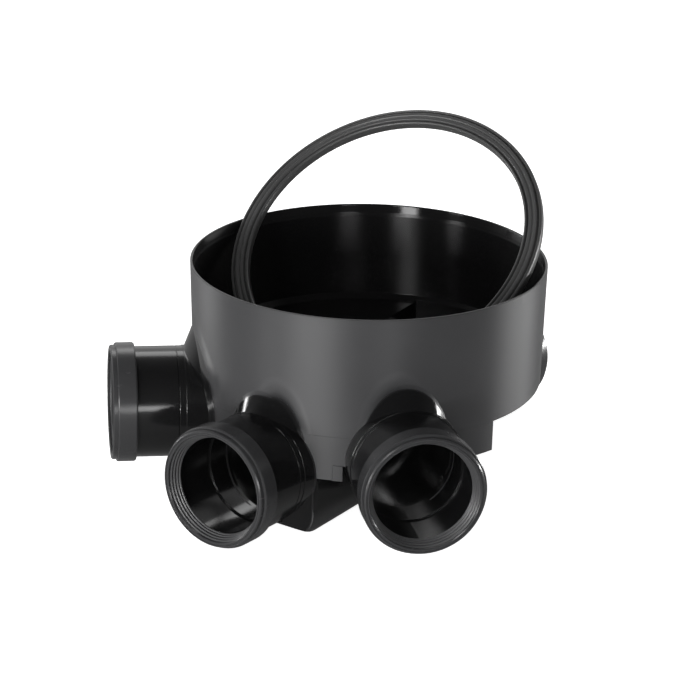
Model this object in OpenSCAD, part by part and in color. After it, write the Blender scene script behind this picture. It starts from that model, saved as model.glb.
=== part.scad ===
// Drain inspection chamber base for 110 mm pipe: one moulded body with a riser socket
// on top, an open main channel and two side channels inside, and four pipe sockets.
// Z is up, the ground is z = 0 and the riser axis is the Z axis. The main run lies
// along Y: it comes in at -Y and goes out at +Y.

/* [Riser socket] */
// Outside diameter at the rim
rim_d = 384; // [370:1:400]
// Height of the rim above the ground
rim_z = 260; // [250:1:280]
// Wall thickness of the moulding
wall = 4; // [3.5:0.1:4.5]
// Outside draft of the wall from the rim down to its lower edge
wall_draft = 2.4; // [0:0.1:4]
// Height of the wider lead-in band inside the rim
lead_in_h = 10; // [5:1:15]
// Radial depth of the lead-in band
lead_in = 1.2; // [0.6:0.1:1.6]

/* [Benching and skirt] */
// Height of the benching where it meets the wall
bench_z = 147; // [144:1:152]
// Fall of the benching from the wall to the middle
bench_fall = 11; // [6:1:14]
// Height of the lower edge of the plain wall
wall_base_z = 130; // [125:1:135]
// Height of the lower edge of the skirt between the three inlets
skirt_front_z = 81.5; // [78:0.5:90]
// Height of the lower edge of the skirt outside the side inlets
skirt_side_z = 97; // [92:1:110]
// Angle from the main inlet to each end of the skirt
skirt_end_a = 78.5; // [70:0.5:85]

/* [Pipe sockets] */
// Inside diameter of a socket barrel
barrel_bore_d = 110.8; // [110.4:0.1:111.2]
// Outside diameter of a socket barrel
barrel_d = 120; // [119:0.5:120.5]
// Inside diameter of the channels
channel_d = 104; // [102:1:105]
// Depth of the pipe stop behind the cap's face
stop_depth = 66; // [60:1:70]
// Angle between the main inlet and each side inlet
side_a = 46.5; // [44:0.5:48]
// Distance from the riser axis to the face of the main inlet
inlet_reach = 276; // [270:1:282]
// Height of the main inlet's axis at its face
inlet_z = 88; // [84:1:92]
// Rise of the main inlet towards its face, in degrees
inlet_rise = 2.4; // [0:0.1:3]
// Distance from the riser axis to the face of a side inlet
side_reach = 280.5; // [270:0.5:284]
// Height of a side inlet's axis at its face
side_z = 105.5; // [102:0.5:112]
// Rise of a side inlet towards its face, in degrees
side_rise = 1.3; // [0:0.1:2]
// Distance from the riser axis to the face of the outlet
outlet_reach = 294; // [282:1:296]
// Height of the outlet's axis at its face
outlet_z = 65.2; // [65:0.1:67]
// Fall of the channel towards the outlet, in degrees
outlet_fall = 0.3; // [0:0.1:1]

/* [Snap caps] */
// Outside diameter of a cap
cap_d = 129; // [128:0.2:130]
// Length of a cap along the socket
cap_len = 26; // [24:1:30]
// Length of the narrower nose in front of the cap's full diameter
cap_nose = 5.5; // [4:0.5:7]
// Diameter of the cap's nose
cap_nose_d = 124; // [123:0.2:125]
// Diameter of the opening in the cap's face
cap_mouth_d = 113; // [112:0.5:115]

/* [Seals] */
// Inside diameter of a socket seal at its lip
lip_d = 102; // [100:0.5:103]
// Outside diameter of the loose riser seal
ring_d = 354; // [348:1:354]
// Radial width of the riser seal
ring_w = 20; // [18:0.5:22]
// Thickness of the riser seal
ring_h = 12; // [8:0.5:13]
// Tilt of the riser seal out of the horizontal
ring_tilt = 39.3; // [39:0.1:40]

/* [Hidden] */
$fn = 96;

rim_r = rim_d / 2;
wall_base_r = rim_r - wall_draft;
skirt_r = wall_base_r - 0.6;
barrel_r = barrel_d / 2;
channel_r = channel_d / 2;
trough_r = channel_r + wall;
seal_seat = 16;          // a barrel ends this far behind the cap's face
neck_len = 78;           // the plain barrel ends this far behind the face
throat_step = 1.4;       // the bore past the pipe stop is this much wider than a channel
groove_back = 70;        // the witness groove runs this far behind the face
hub_r = 190;             // where the barrels enter the chamber wall
bend_y = -125;           // the inlet ramp meets the level channel here
channel_z = outlet_z + outlet_reach * sin(outlet_fall);
side_end_z = 78;         // a side channel's axis falls to this height at the riser axis
side_step = 0.3;         // a channel's upright sides stand this far inside its round
skirt_set = 0.3;         // step between the wall's faces and the skirt's
notch_a = 297.1;         // azimuth of the near side of the slot in the skirt
rib_a = 3.2;             // angle that the rib beside it takes
notch_h = 17;            // height of the slot and its rib
hood_r = 55;             // radius of the slanted nose over a barrel
hood_out = 12;           // where its front line leaves the barrel, outside the wall
hood_slope = 70;         // slope of its front line
sole = 18;               // half width of the flat under the keel
keel_edge = 40;          // radius of the keel's lower edges
keel_bend = -88;         // the keel's underside begins to rise in front of this
keel_bow = 220;          // radius of that rise
bow_dip = 1.5;           // the rise leaves the flat sole at a slight angle, this far below it
rib_y = -97;             // the first pocket between the keel's ribs
bow_y = -156;            // centre of the round of the bow, seen from above
bow_r = 64;              // radius of that round
rib_gap = 46;            // spacing of the ribs inside the keel

// [azimuth, reach, height, rise] of each socket, for a mouth that points outwards
MAIN = [270, inlet_reach, inlet_z, inlet_rise];
LEFT = [270 - side_a, side_reach, side_z, side_rise];
RIGHT = [270 + side_a, side_reach, side_z, side_rise];
OUT = [90, outlet_reach, outlet_z, -outlet_fall];

// Moves a shape drawn along -Z behind the plane z = 0 to a socket's mouth
module at_socket(s)
    rotate([0, 0, s[0]]) translate([s[1], 0, s[2]]) rotate([0, 90 - s[3], 0]) children();

// A plain round bar along a socket's axis, from one distance behind its face to another
module bar(s, r, from, to)
    at_socket(s) translate([0, 0, -to]) cylinder(r = r, h = to - from);

// Height of a socket's axis at a distance behind its face
function axis_z(s, back) = s[2] - back * sin(s[3]);

// One stretch of channel with a round bottom and upright sides, from point a to point b
// in the vertical plane through the azimuth az; each point is [distance, height].
// The bar runs on past both points, so that two stretches meet in a mitre.
module run(az, a, b, r, top, past = 0) {
    dx = b[0] - a[0];
    dz = b[1] - a[1];
    rotate([0, 0, az]) {
        translate([a[0], 0, a[1]]) rotate([0, 90 - atan2(dz, dx), 0])
            translate([0, 0, -past]) cylinder(r = r, h = norm([dx, dz]) + 2 * past);
        rotate([90, 0, 0]) linear_extrude(2 * (r - side_step), center = true)
            polygon([a, b, [b[0], top], [a[0], top]]);
    }
}

// The three channels, as solids of radius r whose sides end at the height top
module channels(r, top) {
    bend = [-bend_y, channel_z];
    inlet = [hub_r, axis_z(MAIN, inlet_reach - hub_r)];
    slope = atan2(inlet[1] - bend[1], inlet[0] - bend[0]);
    past = r * tan(slope / 2) + 1;
    run(270, bend, inlet, r, top, past);
    run(90, [bend_y, channel_z], [hub_r, axis_z(OUT, outlet_reach - hub_r)], r, top, past);
    for (s = [LEFT, RIGHT])
        run(s[0], [0, side_end_z], [hub_r, axis_z(s, side_reach - hub_r)], r, top);
}

// A fairing that leads the wall down to a barrel: a slanted round nose that leaves the
// barrel's top and sinks into the wall above it
module hood(s, r) {
    out = s[1] - hub_r;
    at_socket(s) translate([-barrel_r, 0, hood_out - out]) rotate([0, hood_slope - 180, 0])
        translate([-hood_r, 0, -60]) cylinder(r = r, h = 160);
}

// The outside of the wall, solid up to the rim, and the underside of the benching
module shell() {
    rotate_extrude($fn = 180) polygon([
        [0, bench_z - bench_fall - wall], [0, rim_z], [rim_r - 0.8, rim_z],
        [rim_r, rim_z - 0.8], [wall_base_r, wall_base_z], [wall_base_r - wall, wall_base_z],
        [wall_base_r - wall, bench_z - wall - 1]]);
}

// A sector of the skirt from azimuth a0 to a1, reaching down to the height z; it is set
// a little into the wall that it hangs from
module skirt(a0, a1, z) {
    top_z = wall_base_z + 6;
    rotate([0, 0, a0]) rotate_extrude(angle = a1 - a0, $fn = 180) polygon([
        [wall_base_r - skirt_set, top_z], [skirt_r, z], [skirt_r - wall + 2 * skirt_set, z],
        [wall_base_r - wall + skirt_set, top_z]]);
}

module skirts() {
    skirt(270 - side_a, 270 + side_a, skirt_front_z);
    skirt(270 - skirt_end_a, 270 - side_a, skirt_side_z);
    skirt(270 + side_a, 270 + skirt_end_a, skirt_side_z);
    notch_rib();
}

// A slot in the skirt's lower edge beside the right inlet, and the rib next to it
module notch(a0, a1, r0, r1, z)
    translate([0, 0, z]) rotate([0, 0, a0]) rotate_extrude(angle = a1 - a0, $fn = 180)
        translate([r0, 0]) square([r1 - r0, notch_h]);

module notch_rib() notch(notch_a - rib_a, notch_a, skirt_r - 1, skirt_r + 1.2, skirt_front_z);

// Cross-section of the keel, shrunk by inset: a flat sole with rounded edges
module keel_section(inset) {
    r = keel_edge - inset;
    for (x = [-sole, sole]) translate([x, keel_edge]) circle(r = r);
    translate([-sole, inset]) square([2 * sole, r]);
    translate([-sole - r + 0.2, keel_edge]) square([2 * (sole + r - 0.2), 50]);
}

// The foot: a keel under the level channel, hollow and open from below, with cross ribs.
// Its underside rises to the main inlet's barrel in a long curve, and its end is round.
module keel() {
    rear = 133;
    front = bow_y - bow_r;
    intersection() {
        difference() {
            translate([0, rear, 0]) rotate([90, 0, 0]) linear_extrude(rear - front)
                keel_section(0);
            for (y = [rib_y : rib_gap : rear - rib_gap])
                translate([0, y + rib_gap - wall, 0]) rotate([90, 0, 0])
                    linear_extrude(rib_gap - wall) {
                        keel_section(wall);
                        translate([wall - sole, -1]) square([2 * (sole - wall), 20]);
                    }
        }
        union() {
            translate([-100, keel_bend, -2]) cube([200, 300, 100]);
            translate([-100, keel_bend, keel_bow - bow_dip]) rotate([0, 90, 0])
                cylinder(r = keel_bow, h = 200, $fn = 180);
        }
        union() {
            translate([-100, bow_y, -1]) cube([200, 300, 100]);
            translate([0, bow_y, -1]) cylinder(r = bow_r, h = 100, $fn = 180);
        }
    }
}

// Everything inside the riser socket and above the benching
module riser_space() {
    socket_r = rim_r - wall;
    rotate_extrude($fn = 180) polygon([
        [0, bench_z - bench_fall], [socket_r - 6, bench_z], [socket_r, bench_z + 6],
        [socket_r, rim_z - lead_in_h - 3], [socket_r + lead_in, rim_z - lead_in_h],
        [socket_r + lead_in, rim_z - 0.8], [socket_r + lead_in + 1.8, rim_z + 1],
        [0, rim_z + 1]]);
}

module chamber_base() color([0.13, 0.13, 0.14]) {
    difference() {
        union() {
            shell();
            skirts();
            intersection() {
                channels(trough_r, bench_z);
                cylinder(r = rim_r - wall - 1, h = bench_z - 3);
            }
            keel();
            for (s = [MAIN, LEFT, RIGHT, OUT]) {
                bar(s, barrel_r, seal_seat, s[1] - hub_r + 12);
                bar(s, barrel_r + 0.7, neck_len, s[1] - hub_r + 12);
            }
            for (s = [MAIN, LEFT, RIGHT]) hood(s, hood_r);
        }
        riser_space();
        intersection() {
            channels(channel_r, bench_z + 8);
            cylinder(r = skirt_r - wall - 1, h = rim_z);
        }
        for (s = [MAIN, LEFT, RIGHT, OUT]) {
            bar(s, barrel_bore_d / 2, -1, stop_depth);
            bar(s, channel_r + throat_step, stop_depth - 1, s[1] - hub_r + 18);
            at_socket(s) translate([0, 0, -groove_back - 1]) difference() {
                cylinder(r = barrel_r + 2, h = 1);
                translate([0, 0, -1]) cylinder(r = barrel_r - 0.6, h = 3);
            }
        }
        for (s = [MAIN, LEFT, RIGHT]) hood(s, hood_r - wall);
        notch(notch_a, notch_a + 4.2, skirt_r - wall - 2, skirt_r + 2, skirt_front_z - 0.5);
    }
}

// The ring that snaps over the end of a barrel and holds the seal against it. The
// sharp-edged groove in its face and the step behind the nose are where a tool grips.
module snap_cap(s) color([0.07, 0.07, 0.08]) at_socket(s) {
    mouth = cap_mouth_d / 2;
    nose = cap_nose_d / 2;
    rim = cap_d / 2;
    rotate_extrude() polygon([
        [mouth, -1], [mouth + 0.8, -0.2], [mouth + 2, -0.2], [mouth + 2.4, -0.8],
        [mouth + 3, -0.8], [mouth + 3.4, 0], [nose - 1.2, 0], [nose, -1.2],
        [nose, -cap_nose], [rim - 0.8, -cap_nose], [rim, -cap_nose - 1.2],
        [rim, -cap_len + 1.6], [rim - 1.2, -cap_len], [barrel_r + 0.15, -cap_len],
        [barrel_r + 0.15, -2.6], [mouth, -2.6]]);
}

// The rubber ring inside a cap: a body clamped between cap and barrel, and a ridged
// cone that leads in to a thin lip
module socket_seal(s) color([0.03, 0.03, 0.03]) at_socket(s) {
    lip = lip_d / 2;
    mouth = cap_mouth_d / 2;
    rotate_extrude() polygon([
        [barrel_r, -2.8], [barrel_r, -seal_seat + 0.2], [barrel_bore_d / 2 + 0.4, -seal_seat + 0.2],
        [lip + 4.6, -9.5], [lip + 0.8, -seal_seat + 0.6], [lip, -seal_seat + 1.2], [lip, -12],
        [lip + 1.2, -10.6], [lip + 1.8, -10.8], [lip + 2.6, -8.6], [lip + 3.4, -8.8],
        [lip + 4.2, -6.4], [lip + 4.8, -6.6], [mouth - 0.4, -4], [mouth, -2.8]]);
}

// The loose ring that seals the riser: a flat band with grooves in both faces
module riser_seal() color([0.05, 0.05, 0.05])
    translate([-9.4, 44.3, rim_z + 4.3]) rotate([0, 0, 275.2]) rotate([0, ring_tilt, 0])
        rotate_extrude($fn = 180) difference() {
            translate([ring_d / 2 - ring_w, -ring_h / 2]) square([ring_w, ring_h]);
            for (x = [4 : 4 : ring_w - 3], y = [-ring_h / 2, ring_h / 2])
                translate([ring_d / 2 - x, y]) circle(r = 0.9);
        }

chamber_base();
snap_cap(MAIN);  // cap_main_inlet
snap_cap(LEFT);  // cap_left_inlet
snap_cap(RIGHT);  // cap_right_inlet
snap_cap(OUT);  // cap_outlet
socket_seal(MAIN);  // seal_main_inlet
socket_seal(LEFT);  // seal_left_inlet
socket_seal(RIGHT);  // seal_right_inlet
socket_seal(OUT);  // seal_outlet
riser_seal();
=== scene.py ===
"""Drain inspection chamber base: a black moulded body with four pipe sockets, their
snap caps and rubber seals, and the loose seal of the riser standing in the rim."""
import math

import bpy
import numpy as np
from mathutils import Matrix


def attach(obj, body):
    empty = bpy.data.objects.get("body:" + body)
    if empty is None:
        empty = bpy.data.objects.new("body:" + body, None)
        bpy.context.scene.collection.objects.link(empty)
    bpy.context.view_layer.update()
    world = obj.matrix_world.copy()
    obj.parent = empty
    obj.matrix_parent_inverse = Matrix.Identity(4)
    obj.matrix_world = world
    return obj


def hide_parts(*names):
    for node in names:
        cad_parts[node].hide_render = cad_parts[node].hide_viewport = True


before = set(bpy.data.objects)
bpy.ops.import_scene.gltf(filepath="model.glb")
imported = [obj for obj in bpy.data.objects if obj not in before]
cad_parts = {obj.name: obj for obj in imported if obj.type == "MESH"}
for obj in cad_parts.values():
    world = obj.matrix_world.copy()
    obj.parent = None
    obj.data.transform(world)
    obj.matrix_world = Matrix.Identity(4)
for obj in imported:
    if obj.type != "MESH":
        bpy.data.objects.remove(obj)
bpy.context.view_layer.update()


# ---- Chamber base -----------------------------------------------------------
# One injection moulding of black polypropylene. The outside of the wall has the fine
# grain of a sparked mould; the inside, the channels and the barrels come off polished
# steel, so they are glossier and look darker.

BASE = bpy.data.objects["chamber_base"]
RIM_R, RIM_Z = 0.192, 0.260
WALL_FOOT_Z = 0.130
WALL_DRAFT = 0.0024
# a surface at this depth inside the wall tells its outer face from its inner face
SKIN = 0.0012
SHELF_Z = 0.1532
CHAMFER_Z = (0.2466, 0.2504)
LEAD_IN_Z = 0.2502
LEAD_IN_FLARE = 0.50
# half the height over which one band of the wall gives way to the next
BLEND = 0.0002
# azimuth and foot of the polished patch over each barrel, which is also darkened as painted shade, its
# half width and its height
NECKS = [(275.5, 0.084, 0.042, 0.100), (227.0, 0.103, 0.078, 0.104),
         (313.8, 0.103, 0.045, 0.098)]
NECK_LIFT = 0.75
EDGE_ROUND = 0.0008
# the keel is rounded far more, below this height and within this radius
KEEL_SOFTNESS = 0.018
KEEL_TOP = (0.074, 0.080)
KEEL_R = (0.180, 0.184)
POLYPROPYLENE = (0.012, 0.012, 0.0125)
POLISHED, GRAINED = 0.15, 0.48
INNER_DULLING = 0.11
PLASTIC_SPECULAR = 0.4
GRAIN_DEPTH = 0.00004


def group(name, inputs, outputs):
    """An empty shader node group with float or vector sockets, and its two end nodes."""
    tree = bpy.data.node_groups.new(name, "ShaderNodeTree")
    for label, kind, value in inputs:
        socket = tree.interface.new_socket(label, in_out="INPUT", socket_type=kind)
        if value is not None:
            socket.default_value = value
    for label, kind in outputs:
        tree.interface.new_socket(label, in_out="OUTPUT", socket_type=kind)
    return tree, tree.nodes.new("NodeGroupInput"), tree.nodes.new("NodeGroupOutput")


def maths(tree, operation, a, b=None, clamp=False):
    """A Math node; a and b are sockets or numbers."""
    node = tree.nodes.new("ShaderNodeMath")
    node.operation = operation
    node.use_clamp = clamp
    for socket, value in zip(node.inputs, (a, b)):
        if value is None:
            continue
        if isinstance(value, (int, float)):
            socket.default_value = value
        else:
            tree.links.new(value, socket)
    return node.outputs[0]


def noise(tree, vector, scale, detail, rough):
    """A Noise Texture node's value."""
    node = tree.nodes.new("ShaderNodeTexNoise")
    tree.links.new(vector, node.inputs["Vector"])
    node.inputs["Detail"].default_value = detail
    node.inputs["Roughness"].default_value = rough
    node.inputs["Scale"].default_value = scale
    return node.outputs["Fac"]


def ramp(tree, value, low, high, to_low, to_high):
    """Smooth step of a value from low to high onto to_low to to_high."""
    node = tree.nodes.new("ShaderNodeMapRange")
    node.interpolation_type = "SMOOTHSTEP"
    tree.links.new(value, node.inputs["Value"])
    for label, number in (("From Min", low), ("From Max", high), ("To Min", to_low), ("To Max", to_high)):
        node.inputs[label].default_value = number
    return node.outputs["Result"]


def mould_skin_group():
    """Skin of a moulding: a fine grain, a faint slow flow mottle and sparse rub marks."""
    tree, ins, outs = group(
        "mould skin",
        [("Vector", "NodeSocketVector", None), ("Grain", "NodeSocketFloat", 1.0),
         ("Rub", "NodeSocketFloat", 0.2)],
        [("Tone", "NodeSocketFloat"), ("Gloss Shift", "NodeSocketFloat"),
         ("Height", "NodeSocketFloat")])
    vector = ins.outputs["Vector"]
    grain = noise(tree, vector, 900.0, 3.0, 0.6)
    mottle = noise(tree, vector, 9.0, 3.0, 0.55)
    stretch = tree.nodes.new("ShaderNodeMapping")
    stretch.inputs["Scale"].default_value = (14.0, 14.0, 90.0)
    stretch.inputs["Rotation"].default_value = (0.3, 0.15, 0.4)
    tree.links.new(vector, stretch.inputs["Vector"])
    streak = noise(tree, stretch.outputs[0], 3.0, 5.0, 0.62)
    rub = maths(tree, "MULTIPLY", ramp(tree, streak, 0.60, 0.78, 0.0, 1.0), ins.outputs["Rub"])
    flow = maths(tree, "SUBTRACT", mottle, 0.5)
    tone = maths(tree, "ADD", maths(tree, "MULTIPLY", flow, 0.5), 1.0)
    tree.links.new(maths(tree, "ADD", tone, rub), outs.inputs["Tone"])
    shift = maths(tree, "ADD", maths(tree, "MULTIPLY", flow, 0.12), maths(tree, "MULTIPLY", rub, 0.25))
    tree.links.new(shift, outs.inputs["Gloss Shift"])
    tree.links.new(maths(tree, "MULTIPLY", grain, ins.outputs["Grain"]), outs.inputs["Height"])
    return tree


MOULD_SKIN = mould_skin_group()


def plastic(name, colour, roughness, grain, rub):
    """A moulded plastic; gives the material, its tree, its skin node and its shader."""
    material = bpy.data.materials.new(name)
    material.use_nodes = True
    tree = material.node_tree
    shader = tree.nodes["Principled BSDF"]
    shader.inputs["Specular IOR Level"].default_value = PLASTIC_SPECULAR
    place = tree.nodes.new("ShaderNodeTexCoord").outputs["Object"]
    skin = tree.nodes.new("ShaderNodeGroup")
    skin.node_tree = MOULD_SKIN
    tree.links.new(place, skin.inputs["Vector"])
    skin.inputs["Grain"].default_value = grain
    skin.inputs["Rub"].default_value = rub
    tint = tree.nodes.new("ShaderNodeVectorMath")
    tint.operation = "SCALE"
    tint.inputs[0].default_value = colour
    tree.links.new(skin.outputs["Tone"], tint.inputs["Scale"])
    tree.links.new(tint.outputs[0], shader.inputs["Base Color"])
    rough = maths(tree, "ADD", skin.outputs["Gloss Shift"], roughness)
    tree.links.new(rough, shader.inputs["Roughness"])
    relief = tree.nodes.new("ShaderNodeBump")
    relief.inputs["Strength"].default_value = 1.0
    relief.inputs["Distance"].default_value = GRAIN_DEPTH
    tree.links.new(skin.outputs["Height"], relief.inputs["Height"])
    tree.links.new(relief.outputs[0], shader.inputs["Normal"])
    return material, tree, skin, shader, place, tint


def vector_maths(tree, operation, *values):
    """A Vector Math node; the values are sockets or triples."""
    node = tree.nodes.new("ShaderNodeVectorMath")
    node.operation = operation
    for socket, value in zip(node.inputs, values):
        if isinstance(value, tuple):
            socket.default_value = value
        else:
            tree.links.new(value, socket)
    return node.outputs["Value" if operation in ("LENGTH", "DOT_PRODUCT") else "Vector"]


def vector_mix(tree, share, first, second):
    """A blend of two vectors, the share being that of the second; the node's vector sockets
    share their names with its float ones, so they go by number."""
    node = tree.nodes.new("ShaderNodeMix")
    node.data_type = "VECTOR"
    tree.links.new(share, node.inputs["Factor"])
    tree.links.new(first, node.inputs[4])
    tree.links.new(second, node.inputs[5])
    return node.outputs[1]


def height_of(tree, place):
    """The height of a place."""
    return vector_maths(tree, "DOT_PRODUCT", place, (0.0, 0.0, 1.0))


def level_part(tree, place):
    """A place's level part, from the riser axis."""
    return vector_maths(tree, "MULTIPLY", place, (1.0, 1.0, 0.0))


def times(tree, first, *others):
    """The product of several values."""
    for other in others:
        first = maths(tree, "MULTIPLY", first, other)
    return first


def wall_zones_group():
    """Tells the wall's outer and inner face apart by the distance from the riser axis, and
    gives the level direction towards that axis, which the inner face looks along."""
    tree, ins, outs = group(
        "wall zones", [("Vector", "NodeSocketVector", None)],
        [("Outer", "NodeSocketFloat"), ("Inner", "NodeSocketFloat"), ("Round", "NodeSocketFloat"),
         ("Inward", "NodeSocketVector")])
    place = ins.outputs["Vector"]
    height, level = height_of(tree, place), level_part(tree, place)
    skin_r = ramp(tree, height, WALL_FOOT_Z, RIM_Z, RIM_R - WALL_DRAFT - SKIN, RIM_R - SKIN)
    tree.nodes[-1].interpolation_type = "LINEAR"
    past = maths(tree, "SUBTRACT", vector_maths(tree, "LENGTH", level), skin_r)
    outer = times(tree, ramp(tree, past, -0.0002, 0.0003, 0.0, 1.0),
                  ramp(tree, past, 0.0018, 0.0040, 1.0, 0.0))
    inner = times(tree, ramp(tree, past, -0.0050, -0.0040, 0.0, 1.0),
                  ramp(tree, past, -0.0006, -0.0003, 1.0, 0.0),
                  ramp(tree, height, SHELF_Z - BLEND, SHELF_Z + BLEND, 0.0, 1.0))
    # the chamfer under the lead-in and the rim keep their own slopes
    chamfer = times(tree, ramp(tree, height, CHAMFER_Z[0] - BLEND, CHAMFER_Z[0] + BLEND, 0.0, 1.0),
                    ramp(tree, height, CHAMFER_Z[1] - BLEND, CHAMFER_Z[1] + BLEND, 1.0, 0.0))
    below_rim = ramp(tree, height, RIM_Z - 0.0014, RIM_Z - 0.0010, 1.0, 0.0)
    round_inside = times(tree, inner, below_rim, maths(tree, "SUBTRACT", 1.0, chamfer))
    flare = tree.nodes.new("ShaderNodeCombineXYZ")
    tree.links.new(ramp(tree, height, LEAD_IN_Z - BLEND, LEAD_IN_Z + BLEND, 0.0, LEAD_IN_FLARE),
                   flare.inputs[2])
    inward = vector_maths(tree, "MULTIPLY", level, (-1.0, -1.0, 0.0))
    inward = vector_maths(tree, "NORMALIZE", inward)
    inward = vector_maths(tree, "ADD", inward, flare.outputs[0])
    inward = vector_maths(tree, "NORMALIZE", inward)
    tree.links.new(outer, outs.inputs["Outer"])
    tree.links.new(inner, outs.inputs["Inner"])
    tree.links.new(round_inside, outs.inputs["Round"])
    tree.links.new(inward, outs.inputs["Inward"])
    return tree


def neck_shine_and_shade_group():
    """Polished patch of the wall around and above each barrel, fading out at its edge, and
    the lift of the surface there, where the wall is blended into the barrel. The patch also
    darkens the wall's colour there as painted shade."""
    tree, ins, outs = group("neck shine", [("Vector", "NodeSocketVector", None)],
                            [("Shine And Shade", "NodeSocketFloat"), ("Lift", "NodeSocketFloat")])
    place = ins.outputs["Vector"]
    shine_and_shade = lift = 0.0
    for azimuth, foot, half_width, rise in NECKS:
        c, s = math.cos(math.radians(azimuth)), math.sin(math.radians(azimuth))
        ahead = vector_maths(tree, "DOT_PRODUCT", place, (c, s, 0.0))
        across = vector_maths(tree, "DOT_PRODUCT", place, (-s, c, 0.0))
        across = maths(tree, "DIVIDE", across, half_width)
        above = maths(tree, "SUBTRACT", height_of(tree, place), foot)
        up = maths(tree, "DIVIDE", maths(tree, "MAXIMUM", above, 0.0), rise)
        out = maths(tree, "ADD", times(tree, across, across), times(tree, up, up))
        out = maths(tree, "SQRT", out)
        front = ramp(tree, ahead, 0.10, 0.12, 0.0, 1.0)
        # painted shade: this patch darkens the wall's colour where the wall blends into the barrel, as
        # well as polishing it
        patch = times(tree, ramp(tree, out, 0.72, 0.94, 1.0, 0.0), front)
        slope = times(tree, ramp(tree, out, 0.86, 1.08, 1.0, 0.0), front,
                      ramp(tree, above, 0.025, 0.056, 0.0, 1.0),
                      ramp(tree, ahead, 0.198, 0.203, 1.0, 0.0))
        shine_and_shade, lift = maths(tree, "MAXIMUM", patch, shine_and_shade), maths(tree, "MAXIMUM", slope, lift)
    tree.links.new(shine_and_shade, outs.inputs["Shine And Shade"])
    tree.links.new(lift, outs.inputs["Lift"])
    return tree


def chamber_plastic():
    """Polypropylene with a fine grain and paler on the outside of the wall, polished elsewhere; the
    polished patch over each barrel is darker as painted shade.
    """
    material, tree, skin, shader, place, tint = plastic(
        "black polypropylene", POLYPROPYLENE, POLISHED, 0.35, 0.05)
    zones, necks = tree.nodes.new("ShaderNodeGroup"), tree.nodes.new("ShaderNodeGroup")
    zones.node_tree, necks.node_tree = wall_zones_group(), neck_shine_and_shade_group()
    tree.links.new(place, zones.inputs[0])
    tree.links.new(place, necks.inputs[0])
    inner, outer, inward = (zones.outputs[label] for label in ("Inner", "Outer", "Inward"))
    height = height_of(tree, place)
    # the sparked outer face outside the neck patches; inside the patches the colour is darkened as
    # painted shade
    grained_unshaded = times(tree, outer, maths(tree, "SUBTRACT", 1.0, necks.outputs["Shine And Shade"]))
    tone = times(tree, skin.outputs["Tone"], ramp(tree, grained_unshaded, 0.0, 1.0, 0.45, 2.4))
    tree.links.new(tone, tint.inputs["Scale"])
    shift = times(tree, skin.outputs["Gloss Shift"], maths(tree, "SUBTRACT", 1.0, inner))
    rough = maths(tree, "ADD", shift, ramp(tree, grained_unshaded, 0.0, 1.0, POLISHED, GRAINED))
    # the turned inner face is a little duller than the lead-in at its top
    dulling = ramp(tree, height, LEAD_IN_Z - BLEND, LEAD_IN_Z + BLEND, INNER_DULLING, 0.0)
    rough = maths(tree, "ADD", rough, times(tree, inner, dulling))
    tree.links.new(rough, shader.inputs["Roughness"])
    # the wall's mould was turned on a lathe, so both faces spread a shine up and down
    spread = maths(tree, "MAXIMUM", inner, times(tree, grained_unshaded, 0.8))
    tree.links.new(spread, shader.inputs["Anisotropic"])
    upright = tree.nodes.new("ShaderNodeCombineXYZ")
    upright.inputs[2].default_value = 1.0
    tree.links.new(upright.outputs[0], shader.inputs["Tangent"])
    # edges catch the light as if slightly rounded, and the keel as if well rounded
    edge = tree.nodes.new("ShaderNodeBevel")
    edge.samples = 6
    from_axis = vector_maths(tree, "LENGTH", level_part(tree, place))
    under = times(tree, ramp(tree, height, *KEEL_TOP, 1.0, 0.0), ramp(tree, from_axis, *KEEL_R, 1.0, 0.0))
    tree.links.new(maths(tree, "ADD", times(tree, under, KEEL_SOFTNESS), EDGE_ROUND),
                   edge.inputs["Radius"])
    own = edge.outputs["Normal"]
    # both faces of the wall are lit as true rounds, without the facets of their meshes
    smooth = vector_mix(tree, zones.outputs["Round"], own, inward)
    outward = vector_maths(tree, "MULTIPLY", inward, (-1.0, -1.0, 0.0))
    facing = vector_maths(tree, "DOT_PRODUCT", own, outward)
    upright_wall = times(tree, outer, ramp(tree, facing, 0.985, 0.995, 0.0, 1.0))
    smooth = vector_mix(tree, upright_wall, smooth, outward)
    lift = tree.nodes.new("ShaderNodeCombineXYZ")
    tree.links.new(times(tree, necks.outputs["Lift"], NECK_LIFT), lift.inputs[2])
    smooth = vector_maths(tree, "ADD", smooth, lift.outputs[0])
    relief = shader.inputs["Normal"].links[0].from_node
    tree.links.new(vector_maths(tree, "NORMALIZE", smooth), relief.inputs["Normal"])
    return material


for slot in BASE.material_slots:
    slot.material = chamber_plastic()


# ---- Snap caps --------------------------------------------------------------
# A cap is a glossy polypropylene ring that clips over the end of a barrel and holds the
# seal in. It is handled more than the body, so it shows more rub marks.

CAP_PLASTIC = (0.024, 0.024, 0.025)
CAP_GLOSS, CAP_GRAIN, CAP_RUB = 0.24, 0.2, 0.25
cap_material = plastic("glossy cap plastic", CAP_PLASTIC, CAP_GLOSS, CAP_GRAIN, CAP_RUB)[0]
for name in ("cap_main_inlet", "cap_left_inlet", "cap_right_inlet", "cap_outlet"):
    for slot in bpy.data.objects[name].material_slots:
        slot.material = cap_material


# ---- Socket seals -----------------------------------------------------------
# A rubber ring sits in each socket, clamped between the cap and the end of the barrel.
# Its front is a cone with rounded ridges that leads a pipe in to a thin lip.

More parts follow.
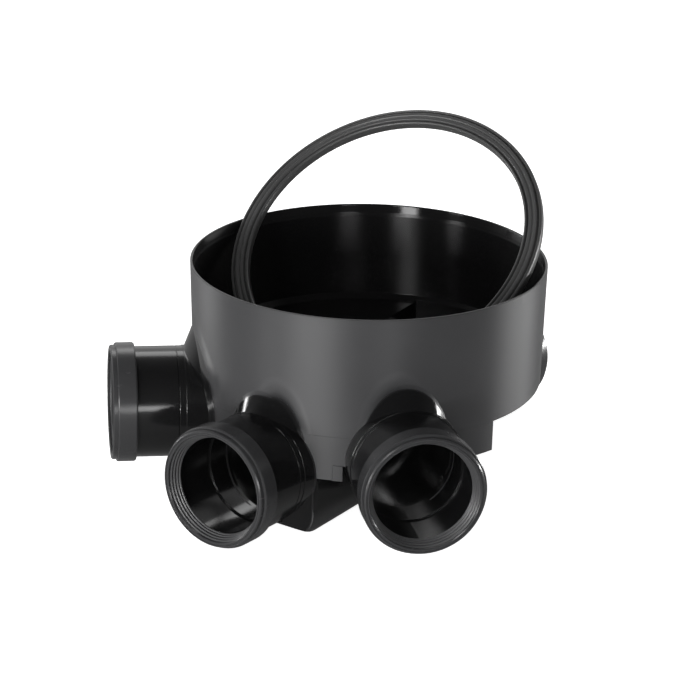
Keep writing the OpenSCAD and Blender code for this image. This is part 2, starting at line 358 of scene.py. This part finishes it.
# azimuth, distance of the cap's face from the riser axis, its height, its rise
SOCKETS = {"main_inlet": (270.0, 0.276, 0.088, 2.4), "left_inlet": (223.5, 0.2805, 0.1055, 1.3),
           "right_inlet": (316.5, 0.2805, 0.1055, 1.3), "outlet": (90.0, 0.294, 0.0652, -0.3)}
LIP_R = 0.051
CONE_R = 0.0562
CONE_DEEP = (0.0032, 0.0125)
SEAT_R = 0.0598
SEAT_DEEP = 0.0156
RIDGES = 3
RIDGE = 0.0005
LIP_ROUND = 0.0012
LIP_DEEP = 0.0138
RING_STEPS = 144
SEAL_RUBBER = (0.034, 0.034, 0.035)


def grid_mesh(name, points, material):
    """A mesh from a grid of points [row, column, xyz] that closes on itself both ways."""
    rows, columns = points.shape[:2]
    index = np.arange(rows * columns).reshape(rows, columns)
    across, down = np.roll(index, -1, axis=1), np.roll(index, -1, axis=0)
    faces = np.stack([index, down, np.roll(down, -1, axis=1), across], axis=-1).reshape(-1, 4)
    mesh = bpy.data.meshes.new(name)
    mesh.from_pydata(points.reshape(-1, 3), [], faces)
    mesh.polygons.foreach_set("use_smooth", np.ones(len(faces), dtype=bool))
    mesh.materials.append(material)
    piece = bpy.data.objects.new(name, mesh)
    bpy.context.scene.collection.objects.link(piece)
    return piece


def seal_section():
    """Closed outline of a seal as rows of (radius, depth behind the cap's face).

    The cone runs straight from its mouth to the lip, and each point is moved out along
    the cone's normal by RIDGE times the square of the sine of the ridge's phase. The lip
    is a half circle. The back of the lip and the clamped body close the outline."""
    t = np.linspace(0, 1, 43)
    mouth, throat = np.array([CONE_R, CONE_DEEP[0]]), np.array([LIP_R + 0.0011, CONE_DEEP[1]])
    along = (throat - mouth) / np.linalg.norm(throat - mouth)
    lift = 2 * RIDGE * np.sin(np.pi * RIDGES * t)**2 - RIDGE
    cone = mouth + np.outer(t, throat - mouth) + np.outer(lift, [-along[1], along[0]])
    turn = np.linspace(0.4, np.pi, 9)
    lip = np.stack([LIP_R + LIP_ROUND * (1 - np.sin(turn)), LIP_DEEP - LIP_ROUND * np.cos(turn)],
                   axis=1)
    back = np.array([[0.0555, 0.0105], [0.0558, 0.0120], [0.0558, SEAT_DEEP], [SEAT_R, SEAT_DEEP],
                     [SEAT_R, 0.0029], [0.0566, 0.0029]])
    # taken backwards, so that the turned faces look outwards
    return np.concatenate([cone, lip, back])[::-1]


def ring_round(section, azimuth, reach, height, rise):
    """Turns a section of (radius, depth) about a socket's axis, its face at the given place."""
    angle = np.linspace(0, 2 * np.pi, RING_STEPS, endpoint=False)
    az, tilt = math.radians(azimuth), math.radians(rise)
    outward = np.array([math.cos(az) * math.cos(tilt), math.sin(az) * math.cos(tilt),
                        math.sin(tilt)])
    side = np.array([-math.sin(az), math.cos(az), 0.0])
    top = np.cross(outward, side)
    face = np.array([math.cos(az) * reach, math.sin(az) * reach, height])
    radial = np.outer(np.cos(angle), side) + np.outer(np.sin(angle), top)
    return face + section[:, None, :1] * radial[None] - section[:, None, 1:] * outward


rubber = plastic("black seal rubber", SEAL_RUBBER, 0.36, 0.5, 0.1)[0]
for place, socket in SOCKETS.items():
    seal = grid_mesh(f"ridged_seal_{place}", ring_round(seal_section(), *socket), rubber)
    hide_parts(f"seal_{place}")
    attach(seal, "root")


# ---- Riser seal -------------------------------------------------------------
# The big loose ring of soft rubber that seals the riser: two beads at the edges and a
# double ridge between them, on both faces. It stands in the rim, leaning on the wall.

RING_R = 0.177
RING_HALF = (0.010, 0.006)
RING_MIDDLE = (-0.0094, 0.0443, 0.2643)
RING_LEAN = 39.3
RING_TURN = 275.2
RING_RUBBER = (0.042, 0.042, 0.042)
# distance of each groove from the outer edge, its depth and half width
GROOVES = [(0.0042, 0.0036, 0.0010), (0.0100, 0.0012, 0.0010), (0.0160, 0.0036, 0.0010)]
OUTLINE_POINTS = 84


def ring_section():
    """Outline of the ring as rows of (radius, height): |x / a|^5 + |z / b|^5 = 1, a rounded
    oblong, with a bell-shaped groove exp(-(distance / half width)^2) sunk in both faces."""
    x = RING_HALF[0] * np.sin(np.linspace(-np.pi / 2, np.pi / 2, OUTLINE_POINTS))
    z = RING_HALF[1] * (1 - np.abs(x / RING_HALF[0])**5)**0.2
    for place, depth, half in GROOVES:
        z -= depth * np.exp(-((RING_HALF[0] - x - place) / half)**2)
    z = np.maximum(z, 0.0)
    radius = RING_R - RING_HALF[0] + x
    top, bottom = np.stack([radius, z], axis=1), np.stack([radius, -z], axis=1)
    return np.concatenate([top, bottom[-2:0:-1]])


def lean(points):
    """Tips points about Y by the ring's lean, turns them about Z and moves them to its place."""
    tip, turn = math.radians(RING_LEAN), math.radians(RING_TURN)
    about_y = np.array([[math.cos(tip), 0, math.sin(tip)], [0, 1, 0],
                        [-math.sin(tip), 0, math.cos(tip)]])
    about_z = np.array([[math.cos(turn), -math.sin(turn), 0],
                        [math.sin(turn), math.cos(turn), 0], [0, 0, 1]])
    return points @ (about_z @ about_y).T + np.array(RING_MIDDLE)


section = ring_section()
angle = np.linspace(0, 2 * np.pi, 240, endpoint=False)
flat_ring = np.stack([np.outer(section[:, 0], np.cos(angle)),
                      np.outer(section[:, 0], np.sin(angle)),
                      np.outer(section[:, 1], np.ones_like(angle))], axis=-1)
ring_rubber = plastic("riser seal rubber", RING_RUBBER, 0.34, 0.5, 0.2)[0]
ring = grid_mesh("ridged_riser_seal", lean(flat_ring), ring_rubber)
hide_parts("riser_seal")
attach(ring, "root")


# ---- Floor and light --------------------------------------------------------
# A wide pale floor under a white surround. Soft boxes stand all round: the windows and
# the low boxes show as upright glints in the polished faces.

VIEW_AZIMUTH = math.radians(34.4)
FLOOR_HALF = 12.0
FLOOR_GLOW = 0.85
FLOOR_TONE, FLOOR_TONE_IN_MIRRORS = 0.85, 0.40
SURROUND_LIGHT = 0.45

floor_mesh = bpy.data.meshes.new("floor")
floor_mesh.from_pydata([(-FLOOR_HALF, -FLOOR_HALF, 0), (FLOOR_HALF, -FLOOR_HALF, 0),
                        (FLOOR_HALF, FLOOR_HALF, 0), (-FLOOR_HALF, FLOOR_HALF, 0)], [], [(0, 1, 2, 3)])
floor = bpy.data.objects.new("floor", floor_mesh)
bpy.context.scene.collection.objects.link(floor)
floor_material = bpy.data.materials.new("pale floor")
floor_material.use_nodes = True
tree = floor_material.node_tree
matt = tree.nodes["Principled BSDF"]
matt.inputs["Roughness"].default_value = 0.9
glow = tree.nodes.new("ShaderNodeEmission")
glow.inputs["Color"].default_value = (1, 1, 1, 1)
seen = tree.nodes.new("ShaderNodeLightPath")
both = tree.nodes.new("ShaderNodeAddShader")
tree.links.new(maths(tree, "MULTIPLY", seen.outputs["Is Camera Ray"], FLOOR_GLOW),
               glow.inputs["Strength"])
darker = maths(tree, "MULTIPLY", seen.outputs["Is Glossy Ray"], FLOOR_TONE - FLOOR_TONE_IN_MIRRORS)
tree.links.new(maths(tree, "SUBTRACT", FLOOR_TONE, darker), matt.inputs["Base Color"])
tree.links.new(matt.outputs[0], both.inputs[0])
tree.links.new(glow.outputs[0], both.inputs[1])
tree.links.new(both.outputs[0], tree.nodes["Material Output"].inputs["Surface"])
floor_mesh.materials.append(floor_material)

world = bpy.data.worlds.new("white surround")
bpy.context.scene.world = world
world.use_nodes = True
tree = world.node_tree
back = tree.nodes["Background"]
back.inputs["Color"].default_value = (1, 1, 1, 1)
seen = tree.nodes.new("ShaderNodeLightPath")
heading = tree.nodes.new("ShaderNodeTexCoord").outputs["Generated"]
split = tree.nodes.new("ShaderNodeSeparateXYZ")
tree.links.new(heading, split.inputs[0])
# mirrors see a surround that is bright behind the chamber and dark on the viewer's side
behind = maths(tree, "ADD", maths(tree, "MULTIPLY", split.outputs[0], -math.sin(VIEW_AZIMUTH)),
               maths(tree, "MULTIPLY", split.outputs[1], math.cos(VIEW_AZIMUTH)))
mirror_level = times(tree, ramp(tree, behind, -0.1, 0.6, 0.08, 0.8),
                     ramp(tree, split.outputs[2], 0.5, 0.95, 1.0, 0.25))
direct = seen.outputs["Is Camera Ray"]
shiny = maths(tree, "MAXIMUM", seen.outputs["Is Glossy Ray"], seen.outputs["Is Transmission Ray"])
level = maths(tree, "ADD", times(tree, shiny, mirror_level), direct)
plain = maths(tree, "SUBTRACT", 1.0, maths(tree, "ADD", shiny, direct, clamp=True))
tree.links.new(maths(tree, "ADD", level, times(tree, plain, SURROUND_LIGHT)), back.inputs["Strength"])


def soft_box(name, place, aim, width, height, power):
    """A rectangular area lamp at a place, turned to face a point."""
    lamp = bpy.data.lights.new(name, "AREA")
    lamp.shape = "RECTANGLE"
    lamp.size = width
    lamp.size_y = height
    lamp.energy = power
    holder = bpy.data.objects.new(name, lamp)
    holder.location = place
    direction = np.array(aim) - np.array(place)
    holder.rotation_euler = (math.acos(-direction[2] / np.linalg.norm(direction)), 0.0,
                             math.atan2(direction[1], direction[0]) - math.pi / 2)
    bpy.context.scene.collection.objects.link(holder)


def from_view(right, away, up):
    """A point given to the right of, away along and above the line of sight's floor line."""
    c, s = math.cos(VIEW_AZIMUTH), math.sin(VIEW_AZIMUTH)
    return (right * c - away * s, right * s + away * c, up)


def round_view(turn, rise, distance):
    """A place round the chamber: turn to the left of the viewer, rise above the level."""
    turn, rise = math.radians(turn), math.radians(rise)
    out = math.cos(rise) * distance
    return from_view(-math.sin(turn) * out, -math.cos(turn) * out,
                     MIDDLE[2] + math.sin(rise) * distance)


MIDDLE = (0.0, 0.0, 0.15)
# name, (turn, rise, distance), width, height, power
LAMPS = [("key", (30, 32, 2.6), 0.42, 0.8, 18),
         ("middle window", (22.8, 6, 3.0), 0.62, 0.5, 27),
         ("right window", (-13.4, 6, 3.0), 0.62, 0.5, 14),
         ("left window", (61, 6, 3.0), 0.5, 0.5, 18),
         ("low left box", (38, -1.5, 2.6), 0.9, 0.14, 34),
         ("right back box", (-104, -1, 2.6), 1.6, 0.2, 44),
         ("left back box", (112, 2, 2.6), 0.9, 0.25, 18),
         ("back panel", (180, 42, 2.6), 2.0, 0.8, 14)]
for name, spot, width, height, power in LAMPS:
    soft_box(name, round_view(*spot), MIDDLE, width, height, power)


# ---- Camera -----------------------------------------------------------------
# A long lens, a little above the rim, on the side of the main and right inlets.

# to the right of the riser axis, away from the viewer and above the foot
CAMERA_PLACE = (-0.0187, -2.339, 1.0664)
PITCH = 0.3722
ROLL = 0.0174
FOCAL_WIDTHS = 2300 / 700
SENSOR = 36

c, s = math.cos(VIEW_AZIMUTH), math.sin(VIEW_AZIMUTH)
right = np.array([c, s, 0.0])
ahead = np.array([-s * math.cos(PITCH), c * math.cos(PITCH), -math.sin(PITCH)])
up = np.cross(right, ahead)
right, up = (math.cos(ROLL) * right + math.sin(ROLL) * up,
             math.cos(ROLL) * up - math.sin(ROLL) * right)
camera = bpy.data.objects.new("camera", bpy.data.cameras.new("camera"))
bpy.context.scene.collection.objects.link(camera)
pose = Matrix([(right[i], up[i], -ahead[i]) for i in range(3)]).to_4x4()
pose.translation = from_view(*CAMERA_PLACE)
camera.matrix_world = pose
camera.data.sensor_width = SENSOR
camera.data.lens = SENSOR * FOCAL_WIDTHS
camera.data.clip_end = 60
bpy.context.scene.camera = camera
bpy.context.scene.view_settings.view_transform = "Standard"
